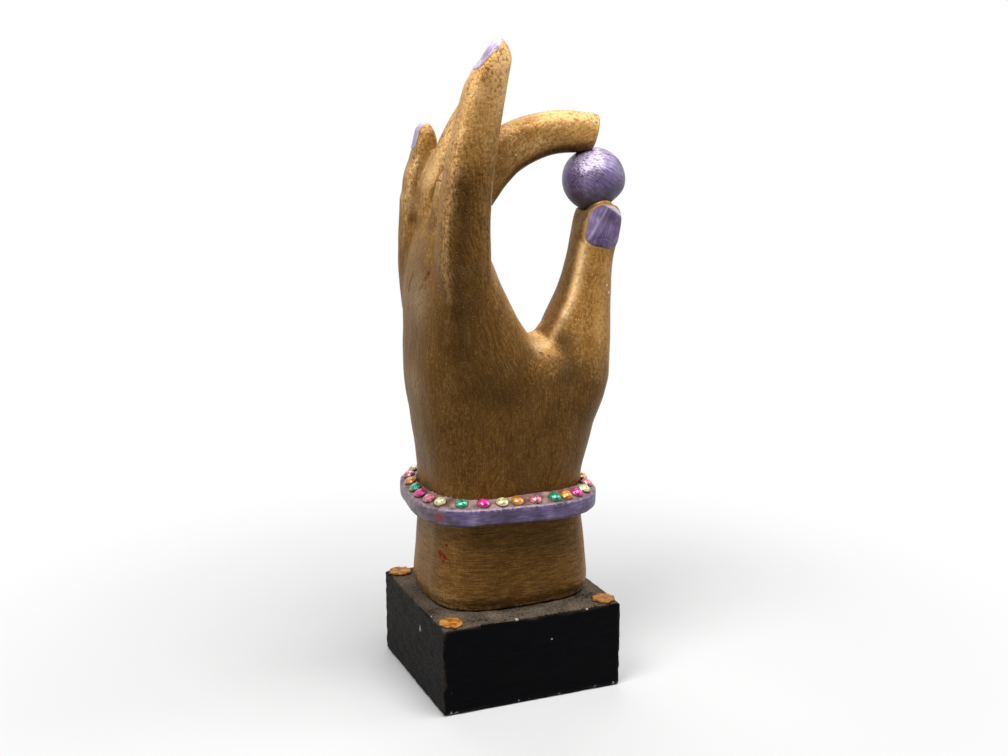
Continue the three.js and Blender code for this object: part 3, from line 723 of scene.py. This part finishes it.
def braceletFinish():
    finish = Finish("bracelet_violet")
    color, strokes = violetColor(finish, (6, 6, 0.8), 0, violetTones)
    low, high = [corner.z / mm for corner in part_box("bracelet")]
    edge = between(bracelet["edge"], low, high)
    grime = finish.grain(2.2, 4.0, 19.1)
    wear = finish.grain((6, 6, 3), 4.0, 23.7)
    above = finish.past("Z", *[edge + more for more in bracelet["edgeFade"]], (grime - 0.5) * 0.002)
    below = finish.past("Z", *[low + more for more in bracelet["foot"]], (wear - 0.5) * 0.004)
    left = finish.past("X", *bracelet["left"], (wear - 0.5) * 0.01)
    mauve = finish.ramp(wear, bracelet["mauve"])
    rubbed = finish.read("proud") * finish.step(grime, 0.42, 0.6)
    # darker in the hollows, along the foot and in specks
    dirt = finish.read("hollow") * 0.6 + below * 0.6 + finish.step(grime, 0.62, 0.72) * 0.35
    chip = finish.near(bracelet["chip"], bracelet["chipReach"], (grime - 0.5) * 0.007)
    color = finish.coated(color, [
        # painted shade: a share of dark over the left side
        (left * 0.6, mauve), (above * 0.95, mauve), (left * 0.35, bracelet["dirt"]),
        (rubbed * 0.45, bracelet["worn"]), (dirt, bracelet["dirt"]),
        (chip * finish.step(wear, 0.4, 0.5) * 0.8, goldTones["red"])])
    rough = 0.4 + dirt * 0.25 + above * 0.1
    metal = (1 - above * 0.6) * 0.15
    return finish.surface(color, rough, metal, [(strokes, 0.12), (grime, 0.25)], Specular_IOR_Level=0.7)


dress(makeBracelet(), "violet_paint", ["bracelet"], braceletFinish())


# a geometry tree with named number inputs
def geometryTree(name, numbers):
    tree = bpy.data.node_groups.new(name, "GeometryNodeTree")
    nodes = Nodes(tree)
    for way in ("INPUT", "OUTPUT"):
        tree.interface.new_socket("Geometry", in_out=way, socket_type="NodeSocketGeometry")
    for key, value in numbers.items():
        kind = "NodeSocketInt" if isinstance(value, int) else "NodeSocketFloat"
        tree.interface.new_socket(key, in_out="INPUT", socket_type=kind).default_value = value
    start = tree.nodes.new("NodeGroupInput")
    sockets = {socket.name: Socket(nodes, socket) for socket in start.outputs if socket.name}
    return nodes, sockets


def endTree(nodes, geometry, material):
    plain = nodes.node("GeometryNodeRealizeInstances", {0: geometry})
    colored = nodes.node("GeometryNodeSetMaterial", {"Geometry": plain, "Material": material})
    nodes.node("NodeGroupOutput", {0: colored})
    return nodes


def grown(piece, nodes):
    piece.modifiers.new("grow", "NODES").node_group = nodes.tree
    return applied(piece)


# gems: one cut stone on each seat, turned to face out of the slope
gemCut = {"Diameter": 5.8, "Girdle": 0.5, "Crown": 1.3, "Height": 1.9, "Table": 2.7, "Shoulder": 0.8,
          "Facets": 8}
gemTones = {"amber": paint(206, 128, 34), "green": paint(22, 146, 108), "magenta": paint(196, 40, 124),
            "pale": paint(196, 190, 138), "rose": paint(196, 108, 124)}
gemOrder = "green magenta rose pale green magenta pale amber rose green amber magenta pale rose amber".split()


# where a gem's back sits and which way it faces, from its node
def gemSeat(node):
    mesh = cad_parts[node].data
    points = np.array([vertex.co for vertex in mesh.vertices])
    back = max(mesh.polygons, key=lambda face: face.area * (face.normal.z < 0))
    center = points.mean(0)
    facing = -np.array(back.normal)
    return center + facing * ((points - center) @ facing).min(), facing


def seatsMesh(name, nodes):
    seats, facings = zip(*[gemSeat(node) for node in nodes])
    mesh = meshFrom(name, seats)
    mesh.attributes.new("facing", "FLOAT_VECTOR", "POINT").data.foreach_set("vector", np.ravel(facings))
    return mesh


def onSeats(nodes, sockets, shape):
    facing = nodes.node("GeometryNodeInputNamedAttribute", {"Name": "facing"}, {"data_type": "FLOAT_VECTOR"})
    turn = nodes.node("FunctionNodeAlignRotationToVector", {"Vector": facing}, {"axis": "Z"})
    return nodes.node("GeometryNodeInstanceOnPoints", {
        "Points": sockets["Geometry"], "Instance": shape, "Rotation": turn})


def ringAt(nodes, facets, radius, level, turn=0.0):
    circle = nodes.node("GeometryNodeMeshCircle", {"Vertices": facets, "Radius": radius})
    place = nodes.node("ShaderNodeCombineXYZ", {"Z": level})
    return nodes.node("GeometryNodeTransform", {
        "Geometry": circle, "Translation": place, "Rotation": (0, 0, turn)})


def gemTree(material):
    nodes, sockets = geometryTree("gem_cut", gemCut)
    outer = sockets["Diameter"] * (0.5 * mm)
    facets = sockets["Facets"]
    half = math.pi / gemCut["Facets"]
    rings = [ringAt(nodes, facets * 2, outer, 0.0),
             ringAt(nodes, facets * 2, outer, sockets["Girdle"] * mm),
             ringAt(nodes, facets, outer * sockets["Shoulder"], sockets["Crown"] * mm, half),
             ringAt(nodes, facets, sockets["Table"] * (0.5 * mm), sockets["Height"] * mm)]
    points = nodes.node("GeometryNodeJoinGeometry", {0: rings})
    stone = nodes.node("GeometryNodeConvexHull", {0: points})
    return endTree(nodes, onSeats(nodes, sockets, stone), material)


def gemFinish(name, color):
    finish = Finish("gem_" + name)
    cloud = finish.grain(1.6, 2.0, 29.3)
    scuffs = finish.grain(0.5, 3.0, 31.7)
    dull = tuple(channel * 0.5 for channel in color[:3]) + (1.0,)
    bright = tuple(min(channel * 1.25 + 0.03, 1.0) for channel in color[:3]) + (1.0,)
    shade = finish.ramp(cloud, [(0.36, dull), (0.5, color), (0.64, bright)])
    rough = 0.1 + finish.step(scuffs, 0.55, 0.7) * 0.25
    return finish.surface(shade, rough, 0.2, [(scuffs, 0.02)], Coat_Weight=0.6)


gemNodes = sorted(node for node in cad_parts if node.startswith("gem_"))
for tone, color in gemTones.items():
    seated = [node for number, node in enumerate(gemNodes) if gemOrder[number % len(gemOrder)] == tone]
    stones = linked("gems_" + tone, seatsMesh("seats_" + tone, seated))
    dress(grown(stones, gemTree(gemFinish(tone, color))), "gem_" + tone, seated)


# a rim of dark glue under each gem
glueRim = {"Radius": 2.8, "Bead": 0.34}
glueTones = [(0.38, paint(52, 34, 30)), (0.56, paint(96, 66, 58)), (0.68, paint(146, 116, 106))]


def glueFinish():
    finish = Finish("gem_glue")
    smear = finish.grain(1.2, 3.0, 37.3)
    return finish.surface(finish.ramp(smear, glueTones), 0.42 + smear * 0.2, 0.0, [(smear, 0.1)])


def glueTree(material):
    nodes, sockets = geometryTree("glue_rim", glueRim)
    path, bead = [nodes.node("GeometryNodeCurvePrimitiveCircle", {
        "Resolution": sides, "Radius": sockets[key] * mm}) for key, sides in (("Radius", 24), ("Bead", 8))]
    rim = nodes.node("GeometryNodeCurveToMesh", {"Curve": path, "Profile Curve": bead})
    return endTree(nodes, onSeats(nodes, sockets, rim), material)


rims = linked("gem_glue", seatsMesh("glue_seats", gemNodes))
dress(grown(rims, glueTree(glueFinish())), "violet_paint")


# block, brushed black and rubbed at its edges, dusty on top; its left face a little paler, dust and painted
# light
block = {
    "voxel": 0.72, "softRounds": 3, "relief": (10, 0.3), "edgeRounds": 12, "edge": (0.12, 0.5),
    "top": (0.6, 0.9), "brush": [(0.2, (9, 9, 3), 1.9)], "grit": [(0.2, 2.3, 5.3)], "lump": [(0.35, 7, 7.1)],
    "chip": 0.8, "chipSize": 5, "chipFade": (0.05, 0.5), "leftDustAndLight": 0.07, "foot": 0.2, "low": (6, 1),
    "black": [(0.4, paint(4, 5, 8)), (0.6, paint(11, 12, 16))],
    "dust": [(0.36, paint(58, 50, 43)), (0.5, paint(82, 72, 62)), (0.66, paint(112, 99, 86))],
    "scuff": paint(70, 63, 57), "fleck": paint(176, 172, 165)}
# pale specks: place and radius
blockMarks = [((-44, -9.8, 30.2), 1.6), ((-8.8, -40.6, 41.2), 0.8), ((26.8, -41.1, 40.6), 0.4),
              ((-40.5, -41.2, 1), 0.6), ((-38.3, -41.2, 1), 0.6), ((12.6, -41.2, 1.1), 0.6),
              ((31.3, -41.2, 1.2), 0.6), ((8.9, -41.2, 28.7), 0.25)]


def makeBlock():
    piece = remeshed("painted_block", "base_block", block["voxel"])
    mesh = piece.data
    mean = neighbourMean(mesh)
    points = sharpened(pointsOf(mesh), mean, block["softRounds"])
    setPoints(mesh, points)
    normals = normalsOf(mesh)
    proud = -((soften(points, mean, block["edgeRounds"]) - points) * normals).sum(1)
    edge = smoothStep(proud, *block["edge"])
    top, left = [smoothStep(facing, *block["top"]) for facing in (normals[:, 2], -normals[:, 0])]
    brush, grit, lump = [uneven(points, block[key]) for key in ("brush", "grit", "lump")]
    lift = brush + top * (grit + (1 - edge) * lump)
    chipped = smoothStep(wander(points, block["chipSize"], 9.7), *block["chipFade"])
    lift -= block["chip"] * edge * chipped
    lift[points[:, 2] < block["foot"]] = 0
    setPoints(mesh, points + normals * lift[:, None])
    # dust on top, and on the left face a little that is partly painted light
    store(mesh, "dust", top + block["leftDustAndLight"] * left)
    storeRelief(mesh, *block["relief"])
    mesh.shade_smooth()
    return piece


def blockFinish():
    finish = Finish("block_black")
    strokes = finish.grain((16, 16, 1.1), 3.0, 41.1)
    patches = finish.grain((12, 12, 9), 4.0, 43.9)
    grit = finish.grain(1.1, 3.0, 47.7)
    flecks = finish.grain(2.6, 1.0, 53.3)
    dust = finish.read("dust")
    color = finish.ramp(strokes * 0.5 + patches * 0.5, block["black"])
    powder = finish.ramp(grit * 0.5 + patches * 0.5, block["dust"])
    top = finish.step(dust, 0.4, 0.9)
    thick, thin = [finish.step(patches + grit, *limits) for limits in ((0.7, 0.95), (0.86, 1.14))]
    scuff = finish.read("proud") * finish.step(patches, 0.42, 0.6)
    low = finish.past("Z", *block["low"])
    fleck = finish.step(flecks + low * 0.12, 0.82, 0.84)
    for place, radius in blockMarks:
        fleck = fleck + finish.near(place, radius, (grit - 0.5) * 0.004)
    color = finish.coated(color, [(between(top, dust * thin * 2.2, thick), powder),
                                  (scuff * 0.65, block["scuff"]), (fleck, block["fleck"])])
    rough = 0.6 + dust * 0.25 + (patches - 0.5) * 0.4
    return finish.surface(color, rough, 0.0, [(strokes, 0.2), (grit, 0.2)], Specular_IOR_Level=0.06)


blockPiece = makeBlock()
dress(blockPiece, "black_paint", ["base_block"], blockFinish())


# crumbs of dirt on the top of the block, so many to a square centimetre, clear of the foot of the wrist
crumbs = {"Density": 2.5, "Size": 0.45, "Seed": 7}
foot = {"middle": (1.4, 2.6), "half": (38.5, 31.8), "square": 3.2, "upward": 0.7}
crumbTones = [(0.36, paint(56, 48, 42)), (0.5, paint(82, 72, 62)), (0.64, paint(114, 101, 88))]


def topSheet():
    mesh = blockPiece.data.copy()
    mesh.materials.clear()

    def covered(face):
        spot = face.calc_center_median() / mm
        away = [abs((spot[axis] - foot["middle"][axis]) / foot["half"][axis]) for axis in (0, 1)]
        return face.normal.z < foot["upward"] or away[0] ** foot["square"] + away[1] ** foot["square"] < 1
    with edited(mesh) as sheet:
        bmesh.ops.delete(sheet, geom=[face for face in sheet.faces if covered(face)], context="FACES")
    return mesh


def crumbTree(material):
    nodes, sockets = geometryTree("crumbs", crumbs)
    points = nodes.node("GeometryNodeDistributePointsOnFaces", {
        "Mesh": sockets["Geometry"], "Density": sockets["Density"] * 10000, "Seed": sockets["Seed"]})
    crumb = nodes.node("GeometryNodeMeshIcoSphere", {"Radius": sockets["Size"] * mm, "Subdivisions": 1})
    size = nodes.node("FunctionNodeRandomValue", {"Min": 0.3, "Max": 1.0, "Seed": sockets["Seed"]},
                      {"data_type": "FLOAT"}, 1)
    turn = nodes.node("FunctionNodeRandomValue", {"Max": (6.0, 6.0, 6.0), "Seed": sockets["Seed"]},
                      {"data_type": "FLOAT_VECTOR"})
    scattered = nodes.node("GeometryNodeInstanceOnPoints", {
        "Points": points, "Instance": crumb, "Rotation": turn, "Scale": size})
    return endTree(nodes, scattered, material)


def crumbFinish():
    finish = Finish("block_dirt")
    tint = finish.grain(2.2, 2.0, 59.9)
    return finish.surface(finish.ramp(tint, crumbTones), 0.7 + tint * 0.3, 0.0, [(tint, 0.2)])


dirt = linked("block_crumbs", topSheet())
dress(grown(dirt, crumbTree(crumbFinish())), "black_paint")


# corner flowers: petals pressed round a low button, each a little different; the right ones darker, painted
# shade
flower = {
    "rings": 22, "around": 96, "petals": 8, "notch": 0.14, "button": 0.34, "buttonLevel": 0.5,
    "buttonRise": 0.16, "petalLevel": 0.42, "petalRise": 0.14, "valley": 0.55, "rim": 0.97, "flat": 0.6,
    "wobble": 0.4, "grit": 2.2, "gap": paint(84, 50, 22), "speck": paint(92, 62, 32),
    "gilt": [(0.36, paint(112, 68, 22)), (0.5, paint(164, 108, 44)), (0.64, paint(190, 136, 66))],
    "paintedShadeSide": (20, 36), "relief": (8, 0.2), "skirt": 0.1, "seed": 1.7}


def makeFlower(node, seed):
    low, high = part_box(node)
    center, base, top = (low + high) / 2 / mm, low.z / mm, high.z / mm
    radius, height = (high.x - low.x) / 2 / mm, top - base
    rings, around, button = flower["rings"], flower["around"], flower["button"]
    share, turn = np.meshgrid(np.linspace(0, 1, rings), np.arange(around) * 2 * math.pi / around,
                              indexing="ij")
    lobe = np.abs(np.cos(flower["petals"] * turn / 2))
    reach = radius * (1 - flower["notch"] * (1 - lobe)) * share
    leaf = np.sin(np.clip((share - button) / (1 - button), 0, 1) * math.pi) ** 0.5
    cap = np.sqrt(np.clip(1 - (share / button) ** 2, 0, 1))
    dome = flower["buttonLevel"] + flower["buttonRise"] * cap
    petal = flower["petalLevel"] + flower["petalRise"] * leaf * between(lobe, flower["valley"], 1)
    raised = np.where(share < button, dome, petal)
    raised = np.where(share > flower["rim"], 0.0, raised * flower["flat"])
    spots = np.stack([reach * np.cos(turn), reach * np.sin(turn), raised * height], -1).reshape(-1, 3)
    spots += np.array([center.x, center.y, base])
    rough = flower["wobble"] * wander(spots, flower["grit"], seed)
    rough *= (spots[:, 2] > base + flower["skirt"])
    spots[:, 2] += np.minimum(rough, top - spots[:, 2])
    ring, side = np.meshgrid(np.arange(rings - 1) * around, np.arange(around), indexing="ij")
    first, following = (ring + side).ravel(), (ring + (side + 1) % around).ravel()
    faces = np.stack([first, first + around, following + around, following], -1).tolist()
    faces.append([(rings - 1) * around + corner for corner in reversed(range(around))])
    mesh = meshFrom(node, spots * mm, faces)
    with edited(mesh) as shape:
        weld(shape)
        bmesh.ops.recalc_face_normals(shape, faces=shape.faces)
    storeRelief(mesh, *flower["relief"])
    mesh.shade_smooth()
    return linked("gilt_" + node, mesh)


def flowerFinish():
    finish = Finish("flower_gilding")
    patches = finish.grain(2.4, 3.0, 61.3)
    specks = finish.grain(0.6, 2.0, 67.1)
    # painted shade: the flowers on the right are darker
    right = finish.past("X", *flower["paintedShadeSide"])
    color = finish.coated(finish.ramp(patches, flower["gilt"]), [
        (finish.read("hollow") * 0.5, flower["gap"]),
        (finish.step(specks, 0.62, 0.7) * 0.4, flower["speck"]), (right * 0.4, flower["gap"])])
    return finish.surface(color, 0.5 + (specks - 0.5) * 0.4, 0.15, [(patches, 0.15), (specks, 0.1)],
                          Specular_IOR_Level=0.2)


gilding = flowerFinish()
flowerNodes = sorted(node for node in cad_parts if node.startswith("corner_flower"))
for number, node in enumerate(flowerNodes):
    dress(makeFlower(node, flower["seed"] + number), "gilding", [node], gilding)


# bare wooden pins inside
woodTones = [(0.4, paint(158, 122, 78)), (0.6, paint(212, 178, 128))]


def woodFinish():
    finish = Finish("pin_wood")
    fibres = finish.grain((0.5, 0.5, 12), 3.0, 71.9)
    rings = finish.grain((3, 3, 40), 2.0, 73.3)
    color = finish.ramp(fibres * 0.5 + rings * 0.5, woodTones)
    return finish.surface(color, 0.66 + fibres * 0.2, 0.0, [(fibres, 0.1)])


wood = woodFinish()
for node in ("base_dowel_left", "base_dowel_right", "finger_dowel", "ball_pin"):
    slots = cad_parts[node].data.materials
    slots.clear()
    slots.append(wood)
print("pins finished")


# studio: white floor and world, soft boxes above and at the sides, a dark card before the front
studio = {
    "floorSize": 6.0, "floorBounce": 0.3, "floorWhite": (0.6, 0.63), "floorFade": (0.09, 0.32),
    "ambient": 0.1, "aim": (0.0, 0.0, 0.17),
    "lamps": {  # place, size and watts
        "top": ((0.08, -0.2, 0.72), (0.35, 0.35), 4.0), "key": ((-0.32, -0.22, 0.6), (0.3, 0.3), 3.0),
        "back": ((0.1, 0.5, 0.85), (0.6, 0.5), 3.5), "right": ((0.75, -0.12, 0.6), (0.4, 0.6), 2.0)},
    "card": {"place": (-0.35, -1.2, 0.55), "size": (3.0, 1.7)}}


def panel(name, size):
    width, depth = size[0] / 2, size[1] / 2
    corners = [(-width, -depth, 0), (width, -depth, 0), (width, depth, 0), (-width, depth, 0)]
    return linked(name, meshFrom(name, corners, [(0, 1, 2, 3)]))


def aimed(thing, place):
    thing.location = place
    thing.rotation_euler = (Vector(studio["aim"]) - Vector(place)).to_track_quat("-Z", "Y").to_euler()


def floorFinish():
    finish = Finish("floor_white")
    seen = finish.seen()
    away = finish.node("ShaderNodeVectorMath", {0: finish.where}, {"operation": "LENGTH"}, "Value")
    mottle = finish.grain(300, 2.0, 79.1)
    dull, light, bounce = [(gray, gray, gray, 1) for gray in (*studio["floorWhite"], studio["floorBounce"])]
    color = finish.blend(seen, bounce, finish.ramp(mottle, [(0.3, dull), (0.7, light)]))
    matte = finish.node("ShaderNodeBsdfDiffuse", {"Color": color})
    glow = finish.node("ShaderNodeEmission")
    far = finish.step(away, *studio["floorFade"]) * seen
    both = finish.node("ShaderNodeMixShader", {0: far, 1: matte, 2: glow})
    finish.node("ShaderNodeOutputMaterial", {"Surface": both})
    return finish.material


def cardFinish():
    finish = Finish("card_black")
    cloth = finish.grain(20, 2.0, 83.9)
    return finish.surface(finish.ramp(cloth, [(0.3, paint(8, 8, 8)), (0.7, paint(16, 16, 16))]), 0.9, 0.0)


def makeStudio():
    floor = panel("floor", (studio["floorSize"], studio["floorSize"]))
    floor.data.materials.append(floorFinish())
    for name, (place, size, watts) in studio["lamps"].items():
        lamp = bpy.data.lights.new(name, "AREA")
        lamp.shape = "RECTANGLE"
        lamp.size, lamp.size_y = size
        lamp.energy = watts
        softBox = linked(name + "_softbox", lamp)
        aimed(softBox, place)
        softBox.visible_camera = False
    card = panel("dark_card", studio["card"]["size"])
    card.data.materials.append(cardFinish())
    aimed(card, studio["card"]["place"])
    card.visible_camera = False
    card.visible_shadow = False
    scene.world = bpy.data.worlds.new("studio_white")
    scene.world.use_nodes = True
    sky = Nodes(scene.world.node_tree)
    strength = sky.seen() * (1 - studio["ambient"]) + studio["ambient"]
    shine = sky.node("ShaderNodeBackground", {"Color": (1, 1, 1, 1), "Strength": strength})
    sky.node("ShaderNodeOutputWorld", {"Surface": shine})
    scene.view_settings.view_transform = "Standard"


makeStudio()


# camera, where the photograph was taken from
view = {"place": (-0.24355, -0.58553, 0.28909), "down": 12.899, "across": 22.79, "lens": 50.0,
        "sensor": 36.0, "nearest": 0.01}


def makeCamera():
    data = bpy.data.cameras.new("view")
    data.lens = view["lens"]
    data.sensor_width = view["sensor"]
    data.clip_start = view["nearest"]
    camera = linked("view", data)
    camera.location = view["place"]
    camera.rotation_euler = Euler((math.radians(90 - view["down"]), 0, math.radians(-view["across"])))
    scene.camera = camera


makeCamera()
print("studio and camera set")
